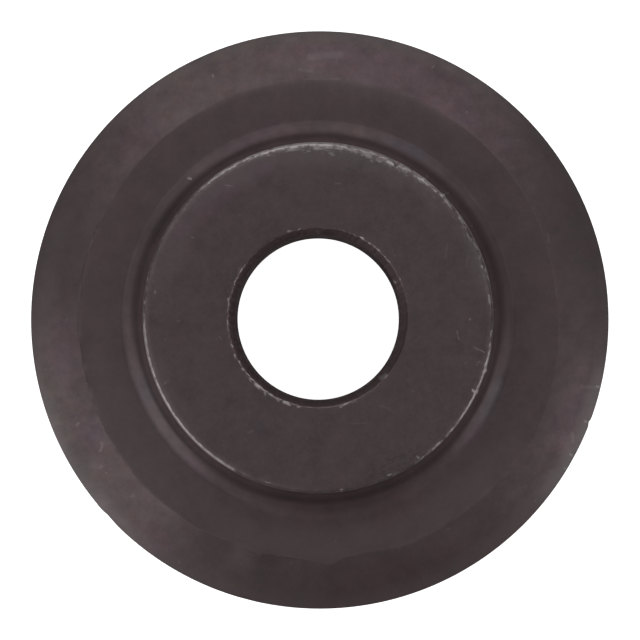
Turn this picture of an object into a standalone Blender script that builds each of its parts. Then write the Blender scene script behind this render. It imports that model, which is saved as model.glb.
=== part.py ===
"""Cutting wheel of a pipe cutter, turned and ground from one piece of tool steel and blackened.

The wheel runs freely on the cutter's pin, which passes through its bore. The two hub faces turn
between the cheeks of the cutter's head, and the sharp rim is pressed into the pipe.
The origin is the wheel's centre, on the bore's axis and in the plane of the cutting edge.
+Z runs along the bore, so the wheel lies on its lower hub face.
"""

import math

import bmesh
import bpy

MM = 0.001  # metres in a millimetre

# The rim: a V ground from both sides, with a narrow land left along its very edge.
EDGE_DIAMETER = 32.0 * MM
EDGE_LAND = 0.10 * MM
BEVEL_WIDTH = 2.70 * MM  # radial width of the ground bevel
BEVEL_ANGLE = math.radians(20.0)  # from the wheel's plane to each bevel

# The web: the turned disc between the bevels and the hub, a little thicker towards the hub.
WEB_TAPER = math.radians(1.5)
FILLET_RADIUS = 1.40 * MM  # where the web runs into the hub

# The hub: a plain cylinder that stands out equally on both sides of the web.
HUB_DIAMETER = 19.0 * MM
HUB_LENGTH = 18.0 * MM
HUB_EDGE_BREAK = 0.15 * MM  # chamfer on the hub's outer corners

# The bore, a running fit on a 9 mm pin.
BORE_DIAMETER = 9.1 * MM
BORE_CHAMFER = 0.35 * MM

# Facets.
TURN_STEPS = 144
FILLET_STEPS = 8

# Black oxide over steel: a dark brown grey with a slight purple cast.
STEEL_COLOUR = (0.058, 0.045, 0.046, 1.0)
STEEL_METALLIC = 0.65
STEEL_ROUGHNESS = 0.35
SHARP_ANGLE = math.radians(12.0)  # corners steeper than this stay sharp when shaded


def fillet(hub_radius, break_radius, break_height):
    """The arc from the web to the hub wall, tangent to both, as (radius, height) points.

    The web's line rises inwards from the break point at the taper angle. The arc's centre lies one
    fillet radius off that line and one fillet radius off the wall. A web that is too narrow for the
    whole radius takes as much of it as fits.
    """
    radius = min(FILLET_RADIUS, break_radius - hub_radius)
    centre_radius = hub_radius + radius
    web_height = break_height + (break_radius - centre_radius) * math.tan(WEB_TAPER)
    centre_height = web_height + radius / math.cos(WEB_TAPER)
    start = -(math.pi / 2 + WEB_TAPER)
    end = -math.pi
    points = []
    for step in range(FILLET_STEPS + 1):
        angle = start + (end - start) * step / FILLET_STEPS
        points.append(
            (
                centre_radius + radius * math.cos(angle),
                centre_height + radius * math.sin(angle),
            )
        )
    return points


def upper_section():
    """The wheel's section above the cutting plane, from the edge inwards to the bore."""
    edge_radius = EDGE_DIAMETER / 2
    break_radius = edge_radius - BEVEL_WIDTH
    break_height = EDGE_LAND / 2 + BEVEL_WIDTH * math.tan(BEVEL_ANGLE)
    hub_radius = HUB_DIAMETER / 2
    hub_top = HUB_LENGTH / 2
    bore_radius = BORE_DIAMETER / 2
    return [
        (edge_radius, EDGE_LAND / 2),
        (break_radius, break_height),
        *fillet(hub_radius, break_radius, break_height),
        (hub_radius, hub_top - HUB_EDGE_BREAK),
        (hub_radius - HUB_EDGE_BREAK, hub_top),
        (bore_radius + BORE_CHAMFER, hub_top),
        (bore_radius, hub_top - BORE_CHAMFER),
    ]


def whole_section():
    """The closed section: the upper half, then its mirror image back out to the edge."""
    upper = upper_section()
    lower = [(radius, -height) for radius, height in reversed(upper)]
    return upper + lower


def turned(name, section):
    """A solid of revolution about Z, spun from its closed section."""
    shape = bmesh.new()
    corners = [shape.verts.new((radius, 0.0, height)) for radius, height in section]
    for corner, following in zip(corners, corners[1:] + corners[:1]):
        shape.edges.new((corner, following))
    bmesh.ops.spin(
        shape,
        geom=shape.verts[:] + shape.edges[:],
        cent=(0.0, 0.0, 0.0),
        axis=(0.0, 0.0, 1.0),
        angle=math.tau,
        steps=TURN_STEPS,
        use_merge=True,
    )
    bmesh.ops.recalc_face_normals(shape, faces=shape.faces[:])
    mesh = bpy.data.meshes.new(name)
    shape.to_mesh(mesh)
    shape.free()
    mesh.shade_smooth()
    mesh.set_sharp_from_angle(angle=SHARP_ANGLE)
    return mesh


def blackened_steel():
    """Black oxide on turned steel."""
    material = bpy.data.materials.new("blackened_steel")
    material.use_nodes = True
    shader = material.node_tree.nodes["Principled BSDF"]
    shader.inputs["Base Color"].default_value = STEEL_COLOUR
    shader.inputs["Metallic"].default_value = STEEL_METALLIC
    shader.inputs["Roughness"].default_value = STEEL_ROUGHNESS
    return material


def cutter_wheel():
    """The whole wheel, one solid."""
    mesh = turned("cutter_wheel", whole_section())
    mesh.materials.append(blackened_steel())
    wheel = bpy.data.objects.new("cutter_wheel", mesh)
    bpy.context.scene.collection.objects.link(wheel)
    return wheel


for leftover in list(bpy.data.objects):
    bpy.data.objects.remove(leftover)

cutter_wheel()
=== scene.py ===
"""A used wheel of a pipe cutter, lying on its hub and seen from straight above.

One piece of tool steel: a disc ground to a sharp V around its rim, with a plain hub through its middle
and a bore for the cutter's pin. It was blackened after grinding, and use has rubbed its corners bright.
"""

import math

import bpy
import numpy as np
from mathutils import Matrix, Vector


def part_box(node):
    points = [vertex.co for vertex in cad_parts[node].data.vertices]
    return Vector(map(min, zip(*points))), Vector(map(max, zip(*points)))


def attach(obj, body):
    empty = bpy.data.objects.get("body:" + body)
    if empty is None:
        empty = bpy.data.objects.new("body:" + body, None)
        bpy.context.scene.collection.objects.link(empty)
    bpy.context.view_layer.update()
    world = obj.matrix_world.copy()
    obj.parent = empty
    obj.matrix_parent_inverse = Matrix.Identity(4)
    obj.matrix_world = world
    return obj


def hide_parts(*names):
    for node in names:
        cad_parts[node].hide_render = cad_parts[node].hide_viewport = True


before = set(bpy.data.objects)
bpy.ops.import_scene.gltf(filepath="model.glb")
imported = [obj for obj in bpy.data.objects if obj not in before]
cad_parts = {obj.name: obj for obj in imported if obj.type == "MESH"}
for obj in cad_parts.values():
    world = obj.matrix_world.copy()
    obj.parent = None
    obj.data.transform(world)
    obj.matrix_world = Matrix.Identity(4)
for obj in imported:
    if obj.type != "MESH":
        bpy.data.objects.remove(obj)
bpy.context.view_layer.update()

# The wheel's form.
# It is turned from one bar: rim, web, fillet and hub are one unbroken surface, alike on both sides.
# The rim was ground on a second set-up, so its V runs slightly out of true with the bore.
MM = 0.001
lowest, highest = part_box("cutter_wheel")
EDGE_RADIUS = (highest.x - lowest.x) / 2
HUB_TOP = highest.z
EDGE_LAND = 0.10 * MM
BEVEL_WIDTH = 2.70 * MM
BEVEL_SLOPE = math.tan(math.radians(20.0))
STROP_DEPTH = 0.02 * MM  # how far the bevel falls away at the edge, where it was stropped
STROP_REACH = 0.20 * MM
WEB_TAPER = math.tan(math.radians(1.5))
WEB_HEIGHT = EDGE_LAND / 2 + BEVEL_SLOPE * BEVEL_WIDTH + STROP_DEPTH  # where a true break would lie
BREAK_REACH = 0.010 * MM  # least rounding between bevel and web
BREAK_SHARE = 0.35  # how far the wear there goes into the bevel, for each part into the web
FOOT_RADIUS = 10.82 * MM  # where the web runs into the cone at the foot of the hub
FOOT_SLOPE = math.tan(math.radians(19.0))
FILLET_FOOT = 10.23 * MM  # where that cone runs into the fillet
FILLET_START = math.radians(37.0)  # the fillet's own slope there
HUB_RADIUS = 9.54 * MM
CORNER_DEPTH = 0.04 * MM  # least depth of the hub's rounded corner
CORNER_WEAR = 0.45  # how much deeper it goes for each part that it is worn in
CORNER_FLATNESS = 0.27  # 0 would be a full rounding and 0.5 a flat chamfer
CHIP_DEPTH = 0.40 * MM  # how far down the hub's wall its chipped corner reaches
BORE_RADIUS = 4.54 * MM
BORE_CHAMFER = 0.35 * MM
MOUTH_REACH = 0.04 * MM  # least rounding of the bore's mouth
MOUTH_WEAR = 0.5  # how much deeper it goes for each part that it is worn out
RUN_OUT = (0.093 * MM, -0.085 * MM)  # of the ground rim's own centre, from the bore's axis

TURN_STEPS = 900
turn = np.arange(TURN_STEPS) * math.tau / TURN_STEPS
level = np.ones(TURN_STEPS)


def around(*stations):
    """A line round the wheel through (degrees, value) stations. Between two stations it follows the
    smooth step from one value to the other, and the last runs on into the first."""
    at, value = np.array(stations, float).T
    at = np.concatenate([at[-1:] - 360, at, at[:1] + 360])
    value = np.concatenate([value[-1:], value, value[:1]])
    degrees = np.degrees(turn)
    before = np.searchsorted(at, degrees, side="right") - 1
    share = (degrees - at[before]) / (at[before + 1] - at[before])
    share = share * share * (3 - 2 * share)
    return value[before] * (1 - share) + value[before + 1] * share


def waves(amplitude, first, last, seed):
    """A ragged line round the wheel: cosines of every whole number of waves from first to last, each
    with its own random place, added up and scaled to that amplitude."""
    places = np.random.default_rng(seed).uniform(0, math.tau, last - first + 1)
    counts = np.arange(first, last + 1)[:, None]
    line = np.cos(counts * turn + places[:, None]).sum(axis=0)
    return amplitude * line / np.sqrt((last - first + 1) / 2)


def dents(radius, *places):
    """Dents in a corner of that radius, each (degrees, width, depth): bell curves added together.
    A depth below zero is a burr that stands out."""
    line = 0 * turn
    for at, width, depth in places:
        along = ((turn - math.radians(at) + math.pi) % math.tau - math.pi) * radius
        line += depth * np.exp(-((along / width) ** 2))
    return line


def eased(start, end, steps):
    """Points from start towards end, closer together near both, leaving out the end itself."""
    share = (1 - np.cos(math.pi * np.arange(steps) / steps))[:, None] / 2
    return np.stack([a + (b - a) * share for a, b in zip(start, end)])


def rounded(before, corner, after, steps):
    """A corner rounded from before to after: the curve whose two ends point at the corner."""
    share = (np.arange(steps) / steps)[:, None]
    return np.stack(
        [
            a * (1 - share) ** 2 + 2 * c * share * (1 - share) + b * share**2
            for a, c, b in zip(before, corner, after)
        ]
    )


def web_height(radius):
    """Height of the web at that radius: a flat cone that rises inwards."""
    return WEB_HEIGHT + (EDGE_RADIUS - BEVEL_WIDTH - radius) * WEB_TAPER


def bevel_height(inward, width, crown):
    """Height of the bevel that far in from the edge: a straight slope that meets the web at that width,
    plus a parabola that bulges by crown at its middle, plus a short fall towards the edge."""
    share = inward / width
    rise = web_height(EDGE_RADIUS - width) - EDGE_LAND / 2 - STROP_DEPTH
    bulge = crown * 4 * share * (1 - share)
    return EDGE_LAND / 2 + rise * share + bulge + STROP_DEPTH * (1 - np.exp(-inward / STROP_REACH))


def half_section(
    crown,
    break_lobes,
    break_chips,
    break_wear,
    edge_nicks,
    foot_lobes,
    foot_reach,
    hub_chips,
    hub_wear,
    mouth_chips,
    mouth_wear,
):
    """Radius and height of one side of the wheel, from its edge in to the middle of the bore: one row
    for each point of the section and one column for each angle. Beside it goes each run's last row."""
    ground = EDGE_RADIUS + RUN_OUT[0] * np.cos(turn) + RUN_OUT[1] * np.sin(turn)
    edge = (ground - edge_nicks, EDGE_LAND / 2 * level)
    width = BEVEL_WIDTH - break_lobes
    break_radius = ground - width + break_chips
    bevel_reach = BREAK_REACH + BREAK_SHARE * break_wear
    last_inward = width - break_chips - bevel_reach
    before_break = (break_radius + bevel_reach, bevel_height(last_inward, width, crown))
    past_break = break_radius - BREAK_REACH - break_wear
    after_break = (past_break, web_height(past_break))
    bevel = eased(edge, before_break, 10)
    bevel[1, 1:] = bevel_height(ground - bevel[0, 1:], width, crown)

    foot_radius = FOOT_RADIUS + foot_lobes
    foot = (foot_radius + foot_reach, web_height(foot_radius + foot_reach))
    cone_foot = (foot_radius, web_height(foot_radius))
    cone_start = (foot_radius - foot_reach, cone_foot[1] + FOOT_SLOPE * foot_reach)
    cone_top = (FILLET_FOOT, cone_foot[1] + FOOT_SLOPE * (foot_radius - FILLET_FOOT))
    fillet_radius = (FILLET_FOOT - HUB_RADIUS) / (1 - math.sin(FILLET_START))
    centre_height = cone_top[1] + fillet_radius * math.cos(FILLET_START)
    swing = np.linspace(FILLET_START, math.pi / 2, 7)[:-1, None] * level
    fillet = np.stack(
        [
            HUB_RADIUS + fillet_radius * (1 - np.sin(swing)),
            centre_height - fillet_radius * np.cos(swing),
        ]
    )

    wall_foot = (HUB_RADIUS * level, centre_height * level)
    hub_corner = HUB_RADIUS - hub_chips
    drop = CORNER_DEPTH + CORNER_WEAR * hub_wear
    wall_top = (hub_corner, HUB_TOP - drop)
    sound_wall = (HUB_RADIUS * level, (HUB_TOP - CHIP_DEPTH) * level)
    worn_corner = (hub_corner - CORNER_FLATNESS * hub_wear, HUB_TOP - CORNER_FLATNESS * drop)
    face_rim = (hub_corner - hub_wear, HUB_TOP * level)
    mouth = BORE_RADIUS + BORE_CHAMFER + mouth_chips
    mouth_rim = (mouth + MOUTH_REACH + mouth_wear, HUB_TOP * level)
    worn_down = MOUTH_REACH + MOUTH_WEAR * mouth_wear
    chamfer_top = (mouth - worn_down, HUB_TOP - worn_down)
    chamfer_foot = (BORE_RADIUS * level, (HUB_TOP - BORE_CHAMFER) * level)
    runs = {
        "bevel": bevel,
        "break": rounded(before_break, (break_radius, web_height(break_radius)), after_break, 5),
        "web": eased(after_break, foot, 4),
        "foot": rounded(foot, cone_foot, cone_start, 4),
        "cone": eased(cone_start, cone_top, 2) * level,
        "fillet": fillet,
        "wall": eased(wall_foot, sound_wall, 1),
        "wall_top": eased(sound_wall, wall_top, 1),
        "corner": rounded(wall_top, worn_corner, face_rim, 8),
        "face": eased(face_rim, mouth_rim, 6),
        "mouth": rounded(mouth_rim, (mouth, HUB_TOP * level), chamfer_top, 3),
        "chamfer": eased(chamfer_top, chamfer_foot, 2),
        "bore": eased(chamfer_foot, (BORE_RADIUS * level, 0 * level), 2),
    }
    last_rows = np.cumsum([run.shape[1] for run in runs.values()])
    return np.concatenate(list(runs.values()), axis=1), dict(zip(runs, last_rows.tolist()))


upper_crown = MM * around(
    (0, 0.07), (20, 0.06), (60, 0.045), (110, 0.045), (135, 0.045), (150, 0.03), (168, 0.015),
    (192, 0.0), (210, 0.05), (228, 0.04), (250, 0.0), (275, 0.06), (290, 0.07), (308, 0.03), (330, 0.08),
    (350, 0.08),
)
upper_lobes = MM * around(
    (5, -0.18), (25, -0.07), (60, -0.01), (150, -0.01), (180, 0.05), (225, 0.06), (240, 0.05),
    (249, -0.15), (256, 0.07), (262, -0.09), (267.5, -0.05), (272.5, 0.18), (277, -0.12), (282, -0.26),
    (290, -0.10), (303, -0.10), (320, 0.02), (332, 0.12), (345, -0.01),
)
upper_break_chips = MM * (
    around((184, 0.0), (190, -0.03), (203, 0.04), (225, -0.02), (240, 0.01), (246, 0.0))
    + waves(0.012, 20, 60, seed=4)
    + waves(0.025, 40, 110, seed=9) * around((180, 0), (195, 1), (235, 1), (248, 0))
)
upper_break_wear = MM * around(
    (0, 0.0), (45, 0.05), (66, 0.4), (108, 0.4), (128, 0.1), (145, 0.05), (160, 0.0), (203, 0.0),
    (214, 0.18), (232, 0.18), (246, 0.0), (276, 0.0), (290, 0.45), (305, 0.3), (322, 0.2), (335, 0.0),
)
upper_nicks = dents(
    EDGE_RADIUS,
    (223.0, 0.20 * MM, 0.035 * MM), (225.0, 0.6 * MM, 0.03 * MM), (220.8, 0.25 * MM, -0.01 * MM),
    (255.6, 0.2 * MM, 0.04 * MM), (114.6, 0.2 * MM, 0.03 * MM), (339.0, 0.15 * MM, 0.06 * MM),
    (331.8, 0.15 * MM, 0.05 * MM),
)
upper_foot_lobes = MM * around(
    (0, -0.03), (30, 0.0), (60, 0.06), (90, 0.05), (115, 0.03), (140, -0.02), (165, -0.06), (210, -0.05),
    (240, -0.04), (272, 0.05), (310, -0.06), (335, -0.06),
)
upper_foot_reach = MM * around(
    (0, 0.12), (240, 0.12), (258, 0.34), (292, 0.40), (312, 0.25), (335, 0.12)
)
upper_chips = dents(
    HUB_RADIUS,
    (63.9, 0.24 * MM, 0.06 * MM), (62.8, 0.09 * MM, 0.15 * MM), (44.3, 0.08 * MM, -0.08 * MM),
    (31.2, 0.07 * MM, -0.04 * MM), (52.5, 0.08 * MM, -0.05 * MM), (342.5, 0.12 * MM, -0.07 * MM),
    (335.0, 0.10 * MM, -0.04 * MM), (277.5, 0.06 * MM, -0.03 * MM), (6.5, 0.10 * MM, 0.03 * MM),
) + MM * around(
    (5, 0.015), (30, 0.03), (52, 0.015), (85, 0.0), (140, 0.0), (190, 0.025), (198, 0.035), (220, 0.035),
    (240, 0.025), (270, 0.01), (310, -0.01), (345, -0.015),
)
upper_hub_wear = MM * (
    around(
        (0, 0.14), (20, 0.15), (42, 0.17), (55, 0.19), (66, 0.19), (84, 0.20), (94, 0.19), (108, 0.17),
        (122, 0.15), (136, 0.13), (150, 0.10), (178, 0.10), (184, 0.14), (238, 0.16), (246, 0.09),
        (298, 0.07), (306, 0.08), (335, 0.10), (350, 0.11),
    )
    + waves(0.008, 40, 140, seed=11)
    + waves(0.012, 60, 200, seed=21) * around((0, 0.6), (60, 1.0), (100, 1.0), (130, 0.3), (300, 0.2))
)
upper_mouth_chips = MM * (
    waves(0.015, 16, 110, seed=23)
    * around((0, 0.6), (60, 1.0), (180, 1.1), (250, 0.8), (270, 0.4), (310, 0.6))
    + around((0, 0.01), (30, 0.015), (58, 0.015), (85, -0.02), (240, -0.015), (300, -0.015), (330, 0.01))
)
upper_mouth_wear = MM * around((20, 0.0), (130, 0.0), (145, 0.02), (220, 0.03), (250, 0.01))
upper, last_row = half_section(
    upper_crown,
    upper_lobes,
    upper_break_chips,
    upper_break_wear,
    upper_nicks,
    upper_foot_lobes,
    upper_foot_reach,
    upper_chips,
    upper_hub_wear,
    upper_mouth_chips,
    upper_mouth_wear,
)

lower_crown = MM * around((30, 0.05), (120, 0.09), (210, 0.06), (290, 0.10))
lower_lobes = MM * around(
    (0, 0.05), (60, -0.08), (95, 0.02), (140, -0.02), (200, -0.10), (262, 0.10), (290, 0.04)
)
lower_break_chips = MM * waves(0.015, 8, 60, seed=5)
lower_break_wear = MM * around((20, 0.0), (150, 0.1), (205, 0.35), (250, 0.05))
lower_nicks = dents(EDGE_RADIUS, (223.2, 0.5 * MM, 0.05 * MM), (339.0, 0.15 * MM, 0.06 * MM))
lower_foot_lobes = MM * around((10, 0.03), (80, -0.04), (170, 0.02), (230, 0.05), (300, -0.03))
lower_foot_reach = MM * around((30, 0.15), (140, 0.3), (250, 0.12))
lower_chips = dents(
    HUB_RADIUS,
    (12, 0.10 * MM, 0.08 * MM), (118, 0.14 * MM, 0.12 * MM), (171, 0.08 * MM, -0.05 * MM),
    (236, 0.10 * MM, -0.06 * MM), (301, 0.12 * MM, 0.06 * MM),
)
lower_hub_wear = MM * (
    around((0, 0.10), (70, 0.12), (150, 0.22), (200, 0.30), (230, 0.22), (262, 0.10), (330, 0.09))
    + waves(0.008, 40, 140, seed=12)
)
lower_mouth_chips = MM * waves(0.012, 12, 80, seed=24)
lower_mouth_wear = MM * around((40, 0.02), (110, 0.0), (300, 0.03))
lower, _ = half_section(
    lower_crown,
    lower_lobes,
    lower_break_chips,
    lower_break_wear,
    lower_nicks,
    lower_foot_lobes,
    lower_foot_reach,
    lower_chips,
    lower_hub_wear,
    lower_mouth_chips,
    lower_mouth_wear,
)

bore_middle = np.stack([np.full((1, TURN_STEPS), BORE_RADIUS), np.zeros((1, TURN_STEPS))])
lower = lower * np.array([1, -1])[:, None, None]
section = np.concatenate([upper, bore_middle, lower[:, ::-1]], axis=1)
rows = section.shape[1]


def turned_mesh(name, section):
    """The closed surface whose section at each angle is that column of radii and heights: x and y are
    the radius times the angle's cosine and sine. Rows and columns both close on themselves."""
    radius, height = section
    points = np.stack([radius * np.cos(turn), radius * np.sin(turn), height], axis=-1)
    row, column = np.meshgrid(np.arange(rows), np.arange(TURN_STEPS), indexing="ij")
    next_row, next_column = (row + 1) % rows, (column + 1) % TURN_STEPS
    corners = [
        row * TURN_STEPS + column,
        row * TURN_STEPS + next_column,
        next_row * TURN_STEPS + next_column,
        next_row * TURN_STEPS + column,
    ]
    faces = np.stack(corners, axis=-1).reshape(-1, 4)
    mesh = bpy.data.meshes.new(name)
    mesh.from_pydata(points.reshape(-1, 3).tolist(), [], faces.tolist())
    mesh.shade_smooth()
    mesh.set_sharp_from_angle(angle=math.radians(30))
    return mesh


wheel_mesh = turned_mesh("wheel", section)
wheel = bpy.data.objects.new("wheel", wheel_mesh)
bpy.context.scene.collection.objects.link(wheel)

# The wheel's blackened skin.
# Grinding, hardening and a hot black bath left a thin brown-black oxide, slightly oily, over every
# surface. It is thinner and greyer where parts rub, and gone where the corners are worn to bare steel.
# The finishes below also paint light and shade into this skin, lightening or darkening it in places.
OXIDE = (0.0576, 0.0411, 0.0427, 1.0)
OXIDE_METALLIC = 0.685
OXIDE_ROUGHNESS = 0.35
# The paler oxide where parts rub, also used to paint light.
THIN_OXIDE_AND_PAINTED_LIGHT = (0.118, 0.103, 0.103, 1.0)
BARE_STEEL = (0.27, 0.243, 0.246, 1.0)
BARE_ROUGHNESS = 0.38
# The tone that grime and painted shade darken the oxide towards.
GRIME_SHADE = (0.45, 0.45, 0.47, 1.0)
PLAIN = (1.0, 1.0, 1.0, 1.0)
PURPLE = (1.047, 0.974, 1.080, 1.0)
MAUVE = (1.12, 0.935, 1.13, 1.0)
BLUE = (0.935, 1.0, 1.10, 1.0)
GREEN = (0.965, 1.03, 0.99, 1.0)
RED = (1.07, 0.97, 0.975, 1.0)
TURNED_CAST = (1.012, 0.988, 0.99, 1.0)
BORE_GLANCE = (1.0, 0.72, 0.74, 1.0)  # the cast of what the bore's wall mirrors at a glancing angle


def add_node(tree, kind, feeds, **settings):
    """A new shader node with those settings. Each feed names an input, by its name or its number, and
    what goes in there: another node's output, which is linked, or a plain value."""
    node = tree.nodes.new("ShaderNode" + kind)
    for name, value in settings.items():
        setattr(node, name, value)
    for socket, source in feeds.items():
        if isinstance(source, bpy.types.NodeSocket):
            tree.links.new(source, node.inputs[socket])
        else:
            node.inputs[socket].default_value = source
    return node


def maths(tree, operation, *values):
    """The output of a Math node of that operation."""
    return add_node(tree, "Math", dict(enumerate(values)), operation=operation).outputs[0]


def vector_maths(tree, operation, *values):
    """The output of a Vector Math node of that operation, a number or a vector as it gives."""
    node = add_node(tree, "VectorMath", dict(enumerate(values)), operation=operation)
    return node.outputs["Value" if operation in ("LENGTH", "DOT_PRODUCT") else "Vector"]


def scaled(tree, vector, factor):
    """The vector times one number."""
    feeds = {0: vector, "Scale": factor}
    return add_node(tree, "VectorMath", feeds, operation="SCALE").outputs["Vector"]


def fade(tree, value, none, full):
    """0 where the value is at none and 1 where it is at full, along the smooth step between them."""
    feeds = {"Value": value, "From Min": none, "From Max": full}
    return add_node(tree, "MapRange", feeds, interpolation_type="SMOOTHSTEP").outputs["Result"]


def cloud(tree, vector, scale, detail, roughness):
    """Noise from 0 to 1 with about that many patches to a millimetre, and finer ones by detail."""
    feeds = {"Vector": vector, "Scale": scale, "Detail": detail, "Roughness": roughness}
    return add_node(tree, "TexNoise", feeds).outputs["Fac"]


def tinted(tree, share, under, over, how="MIX"):
    """The colour under with the colour over laid on it by that share."""
    feeds = {0: share, 6: under, 7: over}
    return add_node(tree, "Mix", feeds, data_type="RGBA", blend_type=how).outputs[2]


def new_group(name, inputs, outputs):
    """An empty shader group with those inputs, each at its usual value, and those kinds of outputs.
    After it come what its inputs put out inside it, and what takes its outputs there."""
    group = bpy.data.node_groups.new(name, "ShaderNodeTree")
    for label, usual in inputs.items():
        kind = "Float" if isinstance(usual, float) else "Color" if len(usual) == 4 else "Vector"
        socket = group.interface.new_socket(name=label, in_out="INPUT", socket_type="NodeSocket" + kind)
        socket.default_value = usual
    for label, kind in outputs.items():
        group.interface.new_socket(name=label, in_out="OUTPUT", socket_type="NodeSocket" + kind)
    return group, group.nodes.new("NodeGroupInput").outputs, group.nodes.new("NodeGroupOutput").inputs


def hand_out(group, takers, outputs):
    """Links what a group has worked out to its outputs."""
    for label, source in outputs.items():
        group.links.new(source, takers[label])


def use(tree, group, feeds):
    """The outputs of a group placed in a material with those feeds."""
    return add_node(tree, "Group", feeds, node_tree=group).outputs


def stored(tree, name):
    """What the mesh stores under that name at each point."""
    return add_node(tree, "Attribute", {}, attribute_name=name).outputs["Fac"]


# Where a point lies on the wheel, in millimetres and degrees. Side is 1 on the upper side and 0 on the
# lower, and Shaken is the place seen along the bore, shifted a little by noise.
place_on_wheel, _, takers = new_group(
    "place_on_wheel",
    {},
    {"Point": "Vector", "Flat": "Vector", "Shaken": "Vector", "Radius": "Float", "Angle": "Float",
     "Height": "Float", "Side": "Float"},
)
metres = add_node(place_on_wheel, "TexCoord", {}).outputs["Object"]
point = scaled(place_on_wheel, metres, 1 / MM)
flat = vector_maths(place_on_wheel, "MULTIPLY", point, (1, 1, 0))
noise = add_node(place_on_wheel, "TexNoise", {"Vector": point, "Scale": 9.0, "Detail": 1.0})
shake = vector_maths(place_on_wheel, "SUBTRACT", noise.outputs["Color"], (0.5, 0.5, 0.5))
shake = vector_maths(place_on_wheel, "MULTIPLY", shake, (0.12, 0.12, 0))
x, y, z = add_node(place_on_wheel, "SeparateXYZ", {0: point}).outputs
hand_out(
    place_on_wheel,
    takers,
    {
        "Point": point,
        "Flat": flat,
        "Shaken": vector_maths(place_on_wheel, "ADD", flat, shake),
        "Radius": vector_maths(place_on_wheel, "LENGTH", flat),
        "Angle": maths(place_on_wheel, "DEGREES", maths(place_on_wheel, "ARCTAN2", y, x)),
        "Height": maths(place_on_wheel, "ABSOLUTE", z),
        "Side": maths(place_on_wheel, "GREATER_THAN", z, 0.0),
    },
)

# A soft patch: 1 in the middle of a stretch of one ring of the wheel, fading out over its ragged rim.
soft_patch, given, takers = new_group(
    "soft_patch",
    {"Angle": 0.0, "Radius": 0.0, "Ragged": 0.5, "At Angle": 0.0, "Half Span": 10.0, "At Radius": 10.0,
     "Half Width": 1.0},
    {"Mask": "Float"},
)
off = maths(soft_patch, "SUBTRACT", given["Angle"], given["At Angle"])
off = maths(soft_patch, "WRAP", off, 180.0, -180.0)
round_share = maths(soft_patch, "POWER", maths(soft_patch, "DIVIDE", off, given["Half Span"]), 2.0)
off = maths(soft_patch, "SUBTRACT", given["Radius"], given["At Radius"])
across_share = maths(soft_patch, "POWER", maths(soft_patch, "DIVIDE", off, given["Half Width"]), 2.0)
away = maths(soft_patch, "SQRT", maths(soft_patch, "ADD", round_share, across_share))
away = maths(soft_patch, "ADD", away, maths(soft_patch, "MULTIPLY_ADD", given["Ragged"], 1.6, -0.8))
hand_out(soft_patch, takers, {"Mask": fade(soft_patch, away, 1.3, 0.3)})

# A scratch: 1 along the line from start to end, seen along the bore.
scratch, given, takers = new_group(
    "scratch",
    {"Shaken": (0.0, 0.0, 0.0), "Start": (0.0, 0.0, 0.0), "End": (1.0, 0.0, 0.0), "Width": 0.05},
    {"Mask": "Float"},
)
from_start = vector_maths(scratch, "SUBTRACT", given["Shaken"], given["Start"])
whole = vector_maths(scratch, "SUBTRACT", given["End"], given["Start"])
part = vector_maths(scratch, "DOT_PRODUCT", from_start, whole)
part = maths(scratch, "DIVIDE", part, vector_maths(scratch, "DOT_PRODUCT", whole, whole))
part = add_node(scratch, "Clamp", {0: part}).outputs[0]
aside = vector_maths(scratch, "SUBTRACT", from_start, scaled(scratch, whole, part))
aside = vector_maths(scratch, "LENGTH", aside)
narrow = maths(scratch, "MULTIPLY", given["Width"], 0.2)
hand_out(scratch, takers, {"Mask": fade(scratch, aside, given["Width"], narrow)})

# Flecks: a few small dots strewn over the surface, each of its own size and strength. Count is how many
# could lie on a millimetre, Share how many of them do, and Size the largest one's radius. The two sides
# draw theirs from places far apart.
flecks, given, takers = new_group(
    "flecks",
    {"Shaken": (0.0, 0.0, 0.0), "Side": 1.0, "Count": 1.0, "Share": 0.2, "Size": 0.1},
    {"Mask": "Float"},
)
apart = scaled(flecks, (53.0, 31.0, 0.0), given["Side"])
cells = add_node(
    flecks,
    "TexVoronoi",
    {"Vector": vector_maths(flecks, "ADD", given["Shaken"], apart), "Scale": given["Count"]},
    voronoi_dimensions="2D",
)
drawn, large, strong = add_node(flecks, "SeparateColor", {0: cells.outputs["Color"]}).outputs
reach = maths(flecks, "MULTIPLY", given["Size"], given["Count"])
reach = maths(flecks, "MULTIPLY", reach, maths(flecks, "MULTIPLY_ADD", large, 0.7, 0.3))
dot = fade(flecks, cells.outputs["Distance"], reach, maths(flecks, "MULTIPLY", reach, 0.2))
dot = maths(flecks, "MULTIPLY", dot, maths(flecks, "LESS_THAN", drawn, given["Share"]))
dot = maths(flecks, "MULTIPLY", dot, maths(flecks, "MULTIPLY_ADD", strong, 0.7, 0.3))
hand_out(flecks, takers, {"Mask": dot})

# Streaks that run round the wheel, as a tool or a rubbing part leaves them: long narrow noise. Across is
# the place across them, Pitch their usual width and Reach their usual length, all in millimetres. The
# two sides draw theirs from places far apart.
streaks, given, takers = new_group(
    "streaks",
    {"Across": 0.0, "Flat": (1.0, 0.0, 0.0), "Side": 1.0, "Pitch": 0.25, "Reach": 4.0},
    {"Height": "Float"},
)
across = maths(streaks, "DIVIDE", given["Across"], given["Pitch"])
across = maths(streaks, "MULTIPLY_ADD", given["Side"], 37.0, across)
x, y, _ = add_node(streaks, "SeparateXYZ", {0: given["Flat"]}).outputs
x, y = (maths(streaks, "DIVIDE", value, given["Reach"]) for value in (x, y))
lines = add_node(streaks, "CombineXYZ", {0: across, 1: x, 2: y}).outputs[0]
hand_out(streaks, takers, {"Height": cloud(streaks, lines, 1.0, 2.0, 0.6)})
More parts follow.
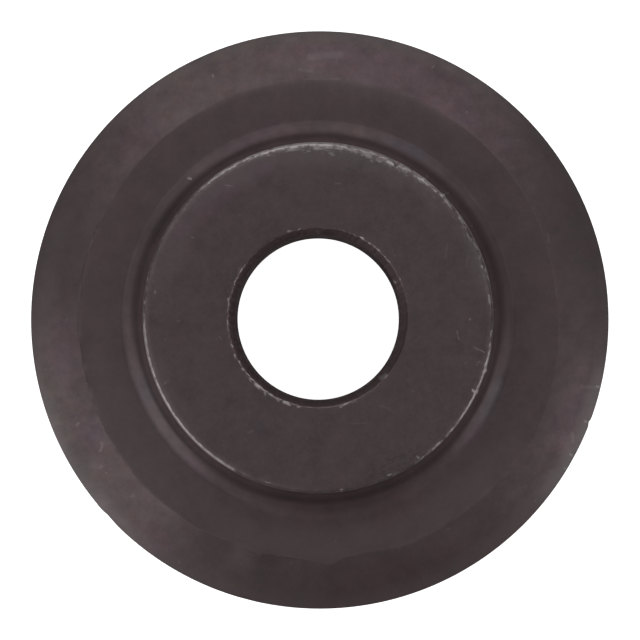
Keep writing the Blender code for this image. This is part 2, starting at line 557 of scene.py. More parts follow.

# The oxide itself. Shade brightens it, Mottle clouds it, the finer the nearer Grain is to 1, and Play
# varies its hue; Tint colours it and Bare wears it through. The rubbed input lightens it towards thin
# oxide, where parts rub and as painted light; the grime input darkens it, under grime and as painted
# shade.
black_oxide, given, takers = new_group(
    "black_oxide",
    {"Point": (0.0, 0.0, 0.0), "Shade": 1.0, "Mottle": 1.0, "Grain": 0.8, "Play": 1.0, "Tint": PLAIN,
     "Rubbed_And_Lit": 0.0, "Bare": 0.0, "Grime_And_Shade": 0.0},
    {"Color": "Color", "Roughness": "Float", "Metallic": "Float"},
)
clouds = cloud(black_oxide, given["Point"], 0.7, 5.0, given["Grain"])
veil = maths(black_oxide, "MULTIPLY", maths(black_oxide, "SUBTRACT", clouds, 0.5), given["Mottle"])
shade = maths(black_oxide, "MULTIPLY_ADD", veil, 1.5, 1.0)
shade = maths(black_oxide, "MULTIPLY", given["Shade"], shade)
elsewhere = vector_maths(black_oxide, "ADD", given["Point"], (41, 7, 23))
hues = cloud(black_oxide, elsewhere, 0.8, 3.0, 0.9)
hues = maths(black_oxide, "MULTIPLY", maths(black_oxide, "SUBTRACT", hues, 0.5), given["Play"])
hues = maths(black_oxide, "MULTIPLY_ADD", hues, 2.0, 0.5)
cast = tinted(black_oxide, hues, (1.05, 0.982, 0.960, 1.0), (0.95, 1.018, 1.040, 1.0))
skin = tinted(black_oxide, 1.0, OXIDE, given["Tint"], "MULTIPLY")
skin = tinted(black_oxide, 1.0, skin, cast, "MULTIPLY")
skin = scaled(black_oxide, skin, shade)
skin = tinted(black_oxide, given["Rubbed_And_Lit"], skin, THIN_OXIDE_AND_PAINTED_LIGHT)
skin = tinted(black_oxide, given["Grime_And_Shade"], skin, GRIME_SHADE, "MULTIPLY")
skin = tinted(black_oxide, given["Bare"], skin, BARE_STEEL)
dull = maths(black_oxide, "MULTIPLY_ADD", veil, -0.25, OXIDE_ROUGHNESS)
dull = maths(black_oxide, "MULTIPLY_ADD", given["Grime_And_Shade"], 0.15, dull)
worn = {0: given["Bare"], 2: dull, 3: BARE_ROUGHNESS}
dull = add_node(black_oxide, "Mix", worn, data_type="FLOAT").outputs[0]
metal = maths(black_oxide, "MULTIPLY_ADD", given["Bare"], 1 - OXIDE_METALLIC, OXIDE_METALLIC)
hand_out(black_oxide, takers, {"Color": skin, "Roughness": dull, "Metallic": metal})


def new_finish(name):
    """A new material of the wheel: its node tree, the place on the wheel, ragged noise for the rims of
    its patches, and the lower side's share, which is 1 there."""
    material = bpy.data.materials.new(name)
    material.use_nodes = True
    wheel_mesh.materials.append(material)
    tree = material.node_tree
    places = use(tree, place_on_wheel, {})
    ragged = cloud(tree, places["Point"], 0.45, 3.0, 0.6)
    return tree, places, ragged, maths(tree, "SUBTRACT", 1.0, places["Side"])


def patch(tree, places, ragged, degrees, half_span, radius, half_width):
    """The mask of a soft patch on one ring of the wheel."""
    feeds = {"Angle": places["Angle"], "Radius": places["Radius"], "Ragged": ragged, "At Angle": degrees,
             "Half Span": half_span, "At Radius": radius, "Half Width": half_width}
    return use(tree, soft_patch, feeds)["Mask"]


def heat_tints(tree, places, ragged, side, colour, spots):
    """The oxide's colour with the tints that the bath or the heat left on one side of the wheel, each
    (colour, degrees, half its span, radius, half its width)."""
    for tint, *where in spots:
        mask = maths(tree, "MULTIPLY", patch(tree, places, ragged, *where), side)
        colour = tinted(tree, mask, colour, tint)
    return colour


def scratches(tree, places, side, marks):
    """The strongest of several scratches on one side, each (x, y, x, y, width, strength)."""
    strongest = 0.0
    for x, y, to_x, to_y, width, strength in marks:
        feeds = {"Shaken": places["Shaken"], "Start": (x, y, 0), "End": (to_x, to_y, 0), "Width": width}
        mask = maths(tree, "MULTIPLY", use(tree, scratch, feeds)["Mask"], strength)
        strongest = maths(tree, "MAXIMUM", strongest, mask)
    return maths(tree, "MULTIPLY", strongest, side)


def strewn(tree, places, count, share, size, strength):
    """The mask of flecks strewn over both sides."""
    feeds = {name: places[name] for name in ("Shaken", "Side")}
    feeds.update({"Count": count, "Share": share, "Size": size})
    return maths(tree, "MULTIPLY", use(tree, flecks, feeds)["Mask"], strength)


def most(tree, *masks):
    """The greatest of several masks at each point."""
    greatest = masks[0]
    for mask in masks[1:]:
        greatest = maths(tree, "MAXIMUM", greatest, mask)
    return greatest


def patches(tree, places, ragged, spots):
    """The greatest of several soft patches on both sides of the wheel, each (degrees, half its span,
    radius, half its width, strength)."""
    masks = []
    for *where, strength in spots:
        masks.append(maths(tree, "MULTIPLY", patch(tree, places, ragged, *where), strength))
    return most(tree, *masks)


def streaked(tree, places, across, pitch, reach):
    """Streaks round the wheel, from 0 to 1."""
    feeds = {name: places[name] for name in ("Flat", "Side")}
    feeds.update({"Across": across, "Pitch": pitch, "Reach": reach})
    return use(tree, streaks, feeds)["Height"]


def finish(tree, places, coat, marks, depth):
    """Feeds the oxide into the material's own shader, and roughens it by tool marks of that depth."""
    shader = tree.nodes["Principled BSDF"]
    skin = use(tree, black_oxide, {"Point": places["Point"], **coat})
    tree.links.new(skin["Color"], shader.inputs["Base Color"])
    tree.links.new(skin["Roughness"], shader.inputs["Roughness"])
    tree.links.new(skin["Metallic"], shader.inputs["Metallic"])
    bump = add_node(tree, "Bump", {"Height": marks, "Distance": depth})
    tree.links.new(bump.outputs["Normal"], shader.inputs["Normal"])


# The ground bevel: the finest finish, in faint arcs left by the wheel that ground it, and rubbed along
# the cutting edge.
tree, places, ragged, under = new_finish("ground_bevel")
tint = heat_tints(
    tree,
    places,
    ragged,
    places["Side"],
    PLAIN,
    [
        (PURPLE, 78, 34, 14.9, 1.3), (PURPLE, 135, 7, 14.0, 1.1), (PURPLE, 187, 9, 14.3, 1.2),
        (PURPLE, 206, 6, 14.3, 1.0), (PURPLE, 233, 6, 15.3, 0.8), (PURPLE, 338, 13, 15.2, 1.2),
        (RED, 288, 17, 14.7, 1.3), (PURPLE, 66, 32, 13.9, 0.9), (GREEN, 206, 24, 15.6, 0.9),
        (GREEN, 92, 40, 15.7, 0.6), (RED, 290, 32, 16.1, 0.9),
    ],
)
tint = heat_tints(
    tree,
    places,
    ragged,
    under,
    tint,
    [(PURPLE, 20, 26, 14.6, 1.3), (RED, 150, 15, 15.0, 1.0), (BLUE, 262, 12, 14.4, 1.1)],
)
marks = scratches(
    tree,
    places,
    places["Side"],
    [
        (-11.97, -6.88, -11.94, -7.10, 0.12, 0.11), (-11.94, -7.10, -12.06, -7.34, 0.12, 0.11),
        (-12.06, -8.28, -11.98, -8.18, 0.11, 0.09), (-10.30, -9.85, -10.20, -9.80, 0.10, 0.10),
        (-13.32, -5.89, -13.25, -5.78, 0.12, 0.14), (-5.84, 13.45, -5.79, 13.38, 0.08, 0.28),
        (14.60, -3.77, 15.50, -3.83, 0.16, 0.08), (15.46, -3.78, 15.58, -3.80, 0.11, 0.50),
        (14.80, -5.70, 14.92, -5.75, 0.12, 0.40), (14.09, -6.38, 14.10, -6.80, 0.15, 0.13),
        (13.98, -7.54, 14.10, -7.60, 0.10, 0.40), (13.66, -8.28, 13.72, -8.32, 0.09, 0.30),
        (-0.45, 14.45, 1.20, 14.62, 0.30, 0.08), (1.00, 14.15, 1.04, 14.45, 0.14, 0.05),
        (-1.07, 13.76, -0.30, 13.66, 0.14, 0.05), (-0.70, 13.19, 1.20, 13.22, 0.13, 0.05),
        (7.17, -11.70, 7.22, -11.62, 0.06, 0.20), (8.23, 11.46, 8.26, 11.30, 0.06, 0.16),
        (12.72, 4.67, 12.74, 4.20, 0.07, 0.14), (6.34, 13.90, 6.42, 13.95, 0.06, 0.20),
    ],
)
lower_marks = scratches(
    tree,
    places,
    under,
    [
        (-13.9, 3.1, -14.6, 3.6, 0.07, 0.2), (4.2, -13.6, 4.9, -13.2, 0.06, 0.25),
        (10.3, 9.9, 10.4, 10.0, 0.09, 0.35), (-8.0, -12.2, -8.1, -12.1, 0.08, 0.3),
    ],
)
# The rim is lighter all round, as thinner oxide near the cutting edge, and more at 212° and 337°, under
# the left and right lamps, where the extra is a painted highlight.
edge = fade(tree, maths(tree, "MULTIPLY_ADD", ragged, 0.5, places["Radius"]), 15.3, 16.3)
rubbed = patches(tree, places, 0.5, [(212, 34, 15.6, 1.1, 0.42), (337, 20, 15.8, 1.4, 0.65)])
rubbed = maths(tree, "MULTIPLY", edge, most(tree, rubbed, 0.25))
# Painted light: lighter patches on the bevel at 14°, 162° and 172°.
painted_bevel_light = patches(
    tree,
    places,
    ragged,
    [(14, 34, 15.1, 1.3, 0.12), (172, 26, 15.4, 1.0, 0.20), (162, 12, 13.5, 0.9, 0.09)],
)
# Painted shade: darker patches on the bevel, mostly on its inner part under the left and right lamps.
darkened_patches = patches(
    tree,
    places,
    ragged,
    [
        (332, 30, 13.5, 1.0, 0.32), (196, 18, 13.5, 1.0, 0.18), (250, 15, 13.4, 0.8, 0.18),
        (66, 9, 15.4, 0.8, 0.18), (213, 9, 14.6, 2.2, 0.18),
    ],
)
finish(
    tree,
    places,
    {
        "Shade": 1.12,
        "Mottle": 0.72,
        "Play": 1.5,
        "Tint": tint,
        "Rubbed_And_Lit": most(tree, rubbed, painted_bevel_light),
        "Bare": most(tree, marks, lower_marks, strewn(tree, places, 0.8, 0.3, 0.07, 0.22)),
        "Grime_And_Shade": darkened_patches,
    },
    streaked(tree, places, places["Radius"], 0.35, 4.0),
    0.6e-6,
)

# The turned web, fillet and hub wall, as they came off the lathe, with painted light and painted
# shade laid on the web and round the hub's foot.
tree, places, ragged, under = new_finish("turned_web")
tint = heat_tints(
    tree,
    places,
    ragged,
    places["Side"],
    TURNED_CAST,
    [
        (BLUE, 335, 10, 10.4, 0.7), (PURPLE, 109, 12, 10.5, 0.8), (BLUE, 63, 8, 10.6, 0.4),
        (BLUE, 203, 9, 10.4, 0.5), (PURPLE, 231, 6, 10.6, 0.5), (RED, 277, 24, 10.5, 1.0),
        (RED, 293, 12, 11.6, 1.0), (MAUVE, 323, 5, 10.6, 0.5), (RED, 50, 90, 10.12, 0.25),
        (RED, 305, 70, 10.12, 0.25),
    ],
)
lower_tints = [(BLUE, 150, 20, 10.4, 0.7), (PURPLE, 20, 14, 11.0, 0.9)]
tint = heat_tints(tree, places, ragged, under, tint, lower_tints)
marks = scratches(
    tree,
    places,
    places["Side"],
    [
        (-7.16, 7.75, -7.01, 7.71, 0.09, 0.45), (9.74, 0.50, 9.76, 0.42, 0.07, 0.5),
        (6.00, 7.86, 6.05, 7.80, 0.06, 0.5), (8.38, 5.11, 8.50, 5.10, 0.05, 0.35),
        (6.86, 6.86, 7.18, 6.91, 0.06, 0.6),
    ],
)
# Painted shade: the web is darkened towards the hub's foot, through the grime input.
foot = fade(tree, places["Radius"], 11.2, 9.9)
# Painted light: the steep ring at the hub's foot, in the shade of its wall, is painted about 2.6 times
# lighter, and the stored table paints it lighter or darker round the wheel.
root = fade(tree, places["Radius"], 10.05, 9.70)
painted_foot_light = fade(tree, places["Radius"], 10.35, 10.05)
painted_foot_light = maths(tree, "MULTIPLY", painted_foot_light, stored(tree, "painted_foot_light"))
shade = maths(tree, "MULTIPLY_ADD", root, 1.55, 1.02)
shade = maths(tree, "MULTIPLY", shade, maths(tree, "ADD", painted_foot_light, 1.0))
# Painted light: lighter patches on the fillet and the web, several under the lamps.
painted_web_light = patches(
    tree,
    places,
    ragged,
    [
        (328, 16, 10.45, 0.5, 0.22), (164, 16, 10.5, 0.4, 0.08), (211, 30, 12.0, 2.6, 0.14),
        (285, 64, 12.5, 1.0, 0.10), (78, 24, 13.1, 0.8, 0.10),
    ],
)
# Painted shade: the crease where the web meets the cone is darkened, more at 195° and 355°, dimming its
# glint; and the web near the hub is darkened at 283°, where the hub shades it.
from_corner = maths(tree, "ABSOLUTE", maths(tree, "SUBTRACT", places["Radius"], 10.80))
crease_shade_strength = patches(tree, places, 0.5, [(195, 70, 10.8, 3.0, 0.34), (355, 70, 10.8, 3.0, 0.32)])
painted_crease_shade = maths(tree, "MULTIPLY", fade(tree, from_corner, 0.24, 0.05), most(tree, crease_shade_strength, 0.14))
painted_low_shade = patches(tree, places, ragged, [(283, 22, 11.0, 0.7, 0.25)])
finish(
    tree,
    places,
    {
        "Shade": shade,
        "Mottle": 0.70,
        "Tint": tint,
        "Rubbed_And_Lit": painted_web_light,
        "Bare": most(tree, marks, strewn(tree, places, 0.8, 0.25, 0.06, 0.15)),
        "Grime_And_Shade": most(tree, maths(tree, "MULTIPLY", foot, 0.10), painted_crease_shade, painted_low_shade),
    },
    streaked(tree, places, stored(tree, "along"), 0.4, 4.0),
    0.6e-6,
)

# The faced end of the hub, its outer corner rubbed bare by the cheeks of the cutter's head.
tree, places, ragged, under = new_finish("faced_hub")
tint = heat_tints(
    tree,
    places,
    ragged,
    places["Side"],
    PLAIN,
    [
        (PURPLE, 132, 24, 8.5, 0.9), (MAUVE, 136, 5, 8.55, 0.5), (MAUVE, 126, 4, 8.45, 0.45),
        (MAUVE, 148, 5, 8.8, 0.4), (MAUVE, 110, 6, 8.6, 0.45), (BLUE, 242, 3, 6.6, 0.5),
    ],
)
lower_tints = [(PURPLE, 320, 18, 7.6, 0.9), (BLUE, 75, 14, 6.2, 0.8)]
tint = heat_tints(tree, places, ragged, under, tint, lower_tints)
mouth_lumps = [
    (-4.64, -1.57, -4.68, -1.49, 0.09, 0.6), (-4.29, -2.38, -4.25, -2.46, 0.08, 0.6),
    (-4.10, -2.77, -4.05, -2.85, 0.10, 0.6), (-3.36, -3.62, -3.22, -3.76, 0.16, 0.9),
    (-2.60, -4.17, -2.48, -4.26, 0.10, 0.6), (-1.84, -4.60, -1.64, -4.65, 0.13, 0.8),
    (3.87, 3.02, 3.80, 3.11, 0.08, 0.5), (3.27, 3.66, 3.22, 3.71, 0.08, 0.5),
    (2.83, 4.01, 2.77, 4.06, 0.08, 0.5), (-1.62, 4.69, -1.52, 4.72, 0.09, 0.5),
]
marks = scratches(
    tree,
    places,
    places["Side"],
    [
        (8.50, -1.62, 9.05, -1.89, 0.05, 0.30), (8.23, -0.10, 8.26, -0.06, 0.07, 0.35),
        (7.55, -0.72, 7.66, -1.20, 0.06, 0.18), (8.01, -2.43, 8.05, -2.47, 0.05, 0.3),
        (8.70, -2.43, 8.78, -2.40, 0.05, 0.3), (5.08, -3.96, 5.20, -4.02, 0.05, 0.15),
        (1.71, -5.75, 2.58, -5.75, 0.05, 0.10), (3.29, -4.77, 3.80, -4.92, 0.05, 0.09),
        (3.80, -4.92, 4.16, -5.21, 0.05, 0.09), (-3.78, -6.24, -3.50, -6.14, 0.06, 0.15),
        (-2.20, -7.11, -2.12, -7.08, 0.05, 0.15), (-8.34, -3.58, -8.26, -3.50, 0.07, 0.2),
        (-6.90, 4.40, -6.76, 4.32, 0.05, 0.2), (3.80, 8.48, 4.08, 8.34, 0.13, 0.95),
        (6.74, 6.80, 6.93, 6.50, 0.07, 0.7), (9.34, 0.85, 9.30, 1.21, 0.10, 0.55),
        (8.90, 2.80, 8.93, 2.74, 0.08, 0.7), (-5.36, -1.05, -5.26, -1.15, 0.05, 0.2),
        (-7.65, -0.20, -7.50, -0.15, 0.05, 0.15), (-2.85, -8.93, -2.60, -8.98, 0.06, 0.35),
        (-5.05, 7.20, -4.60, 7.15, 0.05, 0.2), (-8.87, 1.36, -8.83, 1.44, 0.09, 0.3),
        (0.90, 7.25, 1.25, 7.30, 0.05, 0.15), (1.15, 6.95, 1.45, 6.98, 0.05, 0.12),
        (7.00, 4.00, 6.95, 3.25, 0.08, 0.08), (8.15, 3.40, 8.05, 2.75, 0.08, 0.08),
        (9.08, -2.90, 9.14, -3.02, 0.10, 0.7), (8.42, -3.95, 8.52, -4.02, 0.11, 0.8),
        (5.40, -7.55, 5.50, -7.62, 0.08, 0.4), (3.80, -8.56, 3.95, -8.52, 0.06, 0.5),
        (1.24, -9.33, 1.32, -9.33, 0.07, 0.6), *mouth_lumps,
    ],
)
stains = scratches(
    tree,
    places,
    places["Side"],
    [
        (3.07, 5.34, 3.19, 5.50, 0.06, 0.5), (6.50, 4.55, 7.30, 4.75, 0.14, 0.16),
        (6.90, 4.40, 7.15, 4.95, 0.14, 0.16), (-6.66, -2.60, -6.62, -2.64, 0.07, 0.4),
    ],
)
lower_marks = scratches(
    tree,
    places,
    under,
    [
        (-6.2, -3.1, -5.4, -4.4, 0.05, 0.3), (5.9, 4.1, 6.9, 4.3, 0.05, 0.2),
        (-7.7, 2.9, -7.6, 3.1, 0.08, 0.5), (2.3, 7.4, 2.6, 7.2, 0.07, 0.35),
        (-1.9, -7.8, -1.2, -8.1, 0.06, 0.3), (8.3, -2.2, 8.5, -2.1, 0.10, 0.6),
    ],
)
names = ("hub_wear", "hub_bare", "hub_scuff", "bore_bare")
hub_wear, hub_bare, hub_scuff, bore_bare = (stored(tree, name) for name in names)
scuffs = streaked(tree, places, places["Radius"], 0.12, 0.45)
lumps = maths(tree, "SUBTRACT", cloud(tree, places["Point"], 3.0, 2.0, 0.6), 0.5)
uneven = maths(tree, "ADD", maths(tree, "SUBTRACT", scuffs, 0.5), maths(tree, "MULTIPLY", lumps, 0.8))
unrest = maths(tree, "MULTIPLY", uneven, maths(tree, "MULTIPLY_ADD", hub_scuff, 0.9, 0.1))
inside = maths(tree, "SUBTRACT", HUB_RADIUS / MM, places["Radius"])
worn_share = maths(tree, "DIVIDE", maths(tree, "MULTIPLY_ADD", unrest, 0.3, inside), hub_wear)
band = fade(tree, worn_share, 1.2, 0.7)
cover = maths(tree, "MULTIPLY_ADD", hub_bare, 0.62, -0.36)
cover = fade(tree, maths(tree, "SUBTRACT", cover, maths(tree, "MULTIPLY", uneven, 0.8)), -0.16, 0.18)
bare = maths(tree, "MULTIPLY", band, cover)
scuffed = maths(tree, "MULTIPLY_ADD", inside, -0.8, maths(tree, "MULTIPLY_ADD", hub_scuff, 0.48, -0.16))
scuffed = fade(tree, maths(tree, "SUBTRACT", scuffed, uneven), -0.16, 0.24)
scuffed = maths(tree, "MULTIPLY", scuffed, maths(tree, "MULTIPLY_ADD", hub_scuff, 0.4, 0.2))
from_mouth = maths(tree, "SUBTRACT", places["Radius"], (BORE_RADIUS + BORE_CHAMFER) / MM)
chipped = maths(tree, "MULTIPLY_ADD", bore_bare, 0.35, -0.2)
chipped = maths(tree, "MULTIPLY_ADD", from_mouth, -1.5, chipped)
chipped = fade(tree, maths(tree, "SUBTRACT", chipped, uneven), -0.12, 0.16)
halo = maths(tree, "MULTIPLY", fade(tree, worn_share, 2.2, 0.8), maths(tree, "MULTIPLY", hub_bare, 0.15))
burnished = patches(
    tree,
    places,
    ragged,
    [
        (98, 62, 9.2, 1.1, 0.28), (148, 30, 8.9, 0.9, 0.16), (22, 14, 9.1, 0.6, 0.22),
        (203, 22, 9.1, 0.6, 0.12),
    ],
)
smear = patches(tree, places, ragged, [(298, 17, 9.05, 0.6, 0.55)])
smear = maths(tree, "MULTIPLY", smear, fade(tree, uneven, -0.05, 0.1))
darkened_patches = patches(tree, places, ragged, [(165, 28, 5.3, 0.9, 0.2), (292, 36, 9.35, 0.4, 0.3)])
# Painted shade: the bore's mouth is darkened where it is least bare, dimming the glint of its rounding.
mouth = fade(tree, maths(tree, "ABSOLUTE", from_mouth), 0.15, 0.04)
painted_mouth_shade = maths(tree, "MULTIPLY", mouth, maths(tree, "MULTIPLY_ADD", bore_bare, -0.9, 0.6))
inner_dirt = maths(tree, "MULTIPLY", fade(tree, places["Radius"], 5.9, 5.0), 0.06)
specks = strewn(tree, places, 1.3, 0.35, 0.07, 0.2)
finish(
    tree,
    places,
    {
        "Shade": 1.0,
        "Mottle": 1.1,
        "Grain": 0.92,
        "Tint": tint,
        "Bare": most(tree, bare, scuffed, chipped, marks, lower_marks, specks),
        "Rubbed_And_Lit": most(tree, halo, burnished),
        "Grime_And_Shade": most(tree, inner_dirt, smear, darkened_patches, painted_mouth_shade, stains),
    },
    streaked(tree, places, places["Radius"], 0.3, 4.0),
    0.6e-6,
)

# The bore and its chamfer, reamed, and polished a little by the pin. Both carry painted light: they
# are painted lighter than the rest of the oxide, the wall more so deeper down.
tree, places, ragged, _ = new_finish("bored_wall")
tree.nodes["Principled BSDF"].inputs["Specular Tint"].default_value = BORE_GLANCE
tint = heat_tints(tree, places, ragged, places["Side"], PLAIN, [(GREEN, 295, 62, 4.7, 1.0)])
marks = scratches(
    tree,
    places,
    places["Side"],
    [
        (3.42, -3.28, 3.66, -3.14, 0.16, 0.75), (4.16, 1.97, 4.22, 1.90, 0.08, 0.6),
        (-0.05, 4.72, 0.05, 4.60, 0.07, 0.35), *mouth_lumps,
    ],
)
bore_bare = stored(tree, "bore_bare")
scuffs = streaked(tree, places, places["Radius"], 0.12, 0.45)
lumps = maths(tree, "SUBTRACT", cloud(tree, places["Point"], 4.0, 2.0, 0.7), 0.5)
outside = maths(tree, "MULTIPLY_ADD", maths(tree, "SUBTRACT", scuffs, 0.5), 0.12, places["Radius"])
outside = maths(tree, "MULTIPLY_ADD", lumps, 0.2, outside)
lip = fade(tree, outside, 4.835, 4.91)
cover = maths(tree, "SUBTRACT", maths(tree, "MULTIPLY_ADD", bore_bare, 0.6, 0.1), scuffs)
cover = maths(tree, "SUBTRACT", cover, lumps)
cover = fade(tree, cover, -0.12, 0.14)
# Painted shade, as on the hub's face: the mouth is darkened where it is least bare, dimming its glint.
painted_mouth_shade = fade(tree, places["Radius"], 4.76, 4.84)
painted_mouth_shade = maths(tree, "MULTIPLY", painted_mouth_shade, maths(tree, "MULTIPLY_ADD", bore_bare, -0.9, 0.6))
# Painted shade that dims the mouth's glint at 36°.
darkened_patches = patches(tree, places, ragged, [(36, 26, 4.72, 0.4, 0.5)])
finish(
    tree,
    places,
    {
        # Painted light: the bore and chamfer half as light again, and the wall lighter still deeper
        # down.
        "Shade": 1.48,
        "Mottle": 0.8,
        "Tint": tint,
        "Bare": most(tree, maths(tree, "MULTIPLY", lip, cover), marks),
        "Rubbed_And_Lit": maths(tree, "MULTIPLY", fade(tree, places["Height"], 8.6, 7.0), 0.1),
        "Grime_And_Shade": most(tree, painted_mouth_shade, darkened_patches),
    },
    streaked(tree, places, places["Height"], 0.3, 4.0),
    0.8e-6,
)

GROUND, TURNED, FACED, BORED = range(4)
GROUND_BREAK_ROWS = 2  # of the rounding between bevel and web
row_finish = np.full(last_row["bore"], BORED)
row_finish[: last_row["face"]] = FACED
row_finish[: last_row["wall_top"]] = TURNED
row_finish[: last_row["bevel"] + GROUND_BREAK_ROWS] = GROUND
row_finish = np.concatenate([row_finish, row_finish[::-1], [GROUND]])
wheel_mesh.polygons.foreach_set("material_index", np.repeat(row_finish, TURN_STEPS).astype(np.int32))

# What the finishes read off the mesh: the way along the section from the edge and how far in the hub's
# corner is worn, both in millimetres; how bare and how scuffed the corners are, from 0 to 1; and how
# much lighter or darker the foot of the hub is painted, as painted light and painted shade.
steps = np.hypot(np.diff(upper[0].mean(axis=1)), np.diff(upper[1].mean(axis=1)))
travel = np.concatenate([[0], np.cumsum(steps)]) / MM
travel = np.concatenate([travel, travel[-1:], travel[::-1]])
on_upper = np.arange(rows)[:, None] <= last_row["bore"]


def spread(name, values):
    """Stores one number for each point of the wheel under that name, for its materials to read."""
    layer = wheel_mesh.attributes.new(name, "FLOAT", "POINT")
    values = np.broadcast_to(values, (rows, TURN_STEPS)).astype(np.float32)
    layer.data.foreach_set("value", values.ravel())


upper_hub_bare = around(
    (0, 0.25), (5, 0.42), (9, 0.24), (17, 0.48), (24, 0.5), (28, 0.42), (34, 0.6), (42, 0.66),
    (50, 0.76), (60, 0.72), (64, 0.3), (68, 0.6), (76, 0.5), (84, 0.7), (92, 0.9), (104, 0.88),
    (112, 0.74), (126, 0.7), (134, 0.64), (139, 0.3), (150, 0.36), (160, 0.3), (172, 0.34), (180, 0.45),
    (182.5, 0.85), (200, 0.82), (240, 0.9), (242.5, 0.15), (275, 0.08), (277.5, 0.4), (280, 0.08),
    (294, 0.3), (298, 0.12), (305, 0.48), (322, 0.62), (342, 0.82), (352, 0.5),
)
upper_hub_scuff = around(
    (0, 0.3), (20, 0.45), (36, 0.5), (50, 0.55), (62, 0.8), (70, 0.9), (78, 0.8), (86, 1.0), (96, 0.8),
    (106, 0.6), (116, 0.45), (130, 0.3), (150, 0.25), (178, 0.15), (186, 0.05), (240, 0.05), (246, 0.1),
    (298, 0.1), (310, 0.1), (345, 0.1),
)
lower_hub_bare = around(
    (0, 0.3), (60, 0.8), (110, 0.4), (150, 0.95), (230, 1.0), (262, 0.6), (280, 0.15), (330, 0.2)
)
upper_bore_bare = around(
    (0, 0.0), (18, 0.05), (30, 0.35), (40, 0.48), (58, 0.5), (66, 0.35), (90, 0.3), (102, 0.35),
    (110, 0.35), (118, 0.05), (138, 0.0), (148, 0.6), (178, 0.55), (190, 0.4), (214, 0.4), (222, 0.8),
    (232, 0.85), (242, 0.66), (254, 0.6), (262, 0.35), (276, 0.45), (290, 0.6), (304, 0.3), (318, 0.3),
    (324, 0.05), (340, 0.0),
)
# Painted light and shade on the foot of the hub, as a share of its tone, round each side.
upper_painted_foot_light = around(
    (7, 0.0), (22, -0.15), (37, 0.0), (52, 0.1), (82, 0.18), (97, 0.2), (112, 0.1), (127, 0.08),
    (142, -0.15), (157, 0.0), (172, 0.08), (187, 0.1), (202, 0.08), (217, 0.02), (232, 0.12), (247, 0.0),
    (262, -0.28), (292, -0.28), (307, 0.0), (322, 0.04), (337, 0.0), (352, 0.06),
)
lower_painted_foot_light = around((40, 0.1), (130, -0.15), (220, 0.15), (310, -0.2))
lower_hub_scuff = around(
    (20, 0.2), (70, 0.5), (110, 0.2), (160, 0.7), (215, 0.8), (260, 0.3), (320, 0.1)
)
lower_bore_bare = around((0, 0.5), (70, 0.2), (150, 0.4), (210, 0.1), (280, 0.8))
spread("along", travel[:, None])
for name, upper_line, lower_line in (
    ("hub_wear", upper_hub_wear / MM, lower_hub_wear / MM),
    ("hub_bare", upper_hub_bare, lower_hub_bare),
    ("hub_scuff", upper_hub_scuff, lower_hub_scuff),
    ("bore_bare", upper_bore_bare, lower_bore_bare),
    ("painted_foot_light", upper_painted_foot_light, lower_painted_foot_light),
):
    spread(name, np.where(on_upper, upper_line, lower_line))

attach(wheel, "root")
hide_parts("cutter_wheel")

# The table.
# A white sheet, lit from below as well, so that it stays white round the wheel. It shines brightest
# under the bore, where the wheel would shade it most.
TABLE_SIZE = 4.0
SHEET_GLOW = 0.85  # as the camera sees it
BORE_GLOW = 0.15  # how much more of that there is under the bore
BORE_LIGHT = 0.03  # how much of it lights the bore's wall as well
bpy.ops.mesh.primitive_plane_add(size=TABLE_SIZE, location=(0, 0, -HUB_TOP))
table = bpy.context.object
table.name = "table"
paper = bpy.data.materials.new("paper")
paper.use_nodes = True
tree = paper.node_tree
shader = tree.nodes["Principled BSDF"]
shader.inputs["Base Color"].default_value = (0.85, 0.85, 0.85, 1.0)
shader.inputs["Roughness"].default_value = 0.9
shader.inputs["Emission Color"].default_value = (1, 1, 1, 1)
metres = add_node(tree, "TexCoord", {}).outputs["Object"]
out_of_bore = vector_maths(tree, "LENGTH", metres)
below_bore = fade(tree, out_of_bore, 7 * MM, 5 * MM)
seen = add_node(tree, "LightPath", {}).outputs["Is Camera Ray"]
glow = maths(tree, "MULTIPLY", maths(tree, "MULTIPLY_ADD", below_bore, BORE_GLOW, SHEET_GLOW), seen)
glow = maths(tree, "MULTIPLY_ADD", below_bore, BORE_LIGHT, glow)
tree.links.new(glow, shader.inputs["Emission Strength"])
table.data.materials.append(paper)

# The lamps.
# Three soft boxes stand round the lens, leaving a dark gap on the side nearest the viewer's feet.
LAMP_DISTANCE = 0.45


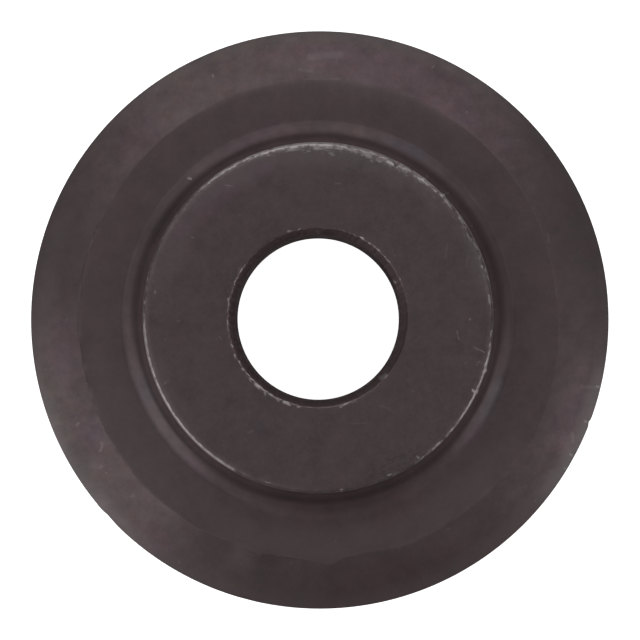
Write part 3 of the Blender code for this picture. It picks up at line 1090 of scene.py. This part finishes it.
def soft_box(name, azimuth, tilt, deep, wide, radiance):
    """A rectangular lamp aimed at the wheel, as bright per unit of its area as radiance says. Azimuth
    is round the bore from +X and tilt is from the bore's axis; deep lies along the tilt."""
    lamp = bpy.data.lights.new(name, "AREA")
    lamp.shape = "RECTANGLE"
    lamp.size, lamp.size_y = deep, wide
    lamp.energy = radiance * math.pi * deep * wide
    box = bpy.data.objects.new(name, lamp)
    azimuth, tilt = math.radians(azimuth), math.radians(tilt)
    box.location = (
        LAMP_DISTANCE * math.sin(tilt) * math.cos(azimuth),
        LAMP_DISTANCE * math.sin(tilt) * math.sin(azimuth),
        LAMP_DISTANCE * math.cos(tilt),
    )
    box.rotation_euler = (0, tilt, azimuth)
    bpy.context.scene.collection.objects.link(box)


soft_box("lamp_top", 93.5, 34.4, 0.396, 0.532, 1.22)
soft_box("lamp_left", 210.3, 44.2, 0.539, 0.283, 1.68)
soft_box("lamp_right", 336.5, 41.6, 0.536, 0.196, 1.26)

ROOM_GLOW = 0.324
room = bpy.data.worlds.new("room")
bpy.context.scene.world = room
room.use_nodes = True
tree = room.node_tree
seen = add_node(tree, "LightPath", {}).outputs["Is Camera Ray"]
glow = add_node(tree, "MapRange", {"Value": seen, "To Min": ROOM_GLOW, "To Max": 1.0}).outputs["Result"]
background = tree.nodes["Background"]
background.inputs["Color"].default_value = (1, 1, 1, 1)
tree.links.new(glow, background.inputs["Strength"])

# The camera.
# It looks down the bore from nearly half a metre through a long lens, a hair off the bore's axis.
EYE = Vector((0.295, -2.229, 476)) * MM
AIM = Vector((0.105, -0.089, 0)) * MM
LENS = 483.3
SENSOR = 36.0
camera_data = bpy.data.cameras.new("camera")
camera_data.lens, camera_data.sensor_width = LENS, SENSOR
camera_data.clip_start, camera_data.clip_end = 0.01, 10.0
camera = bpy.data.objects.new("camera", camera_data)
bpy.context.scene.collection.objects.link(camera)
camera.location = EYE
gaze = AIM - EYE
camera.rotation_euler = (math.atan2(gaze.y, -gaze.z), math.atan2(-gaze.x, -gaze.z), 0)
bpy.context.scene.camera = camera
bpy.context.scene.view_settings.view_transform = "Standard"
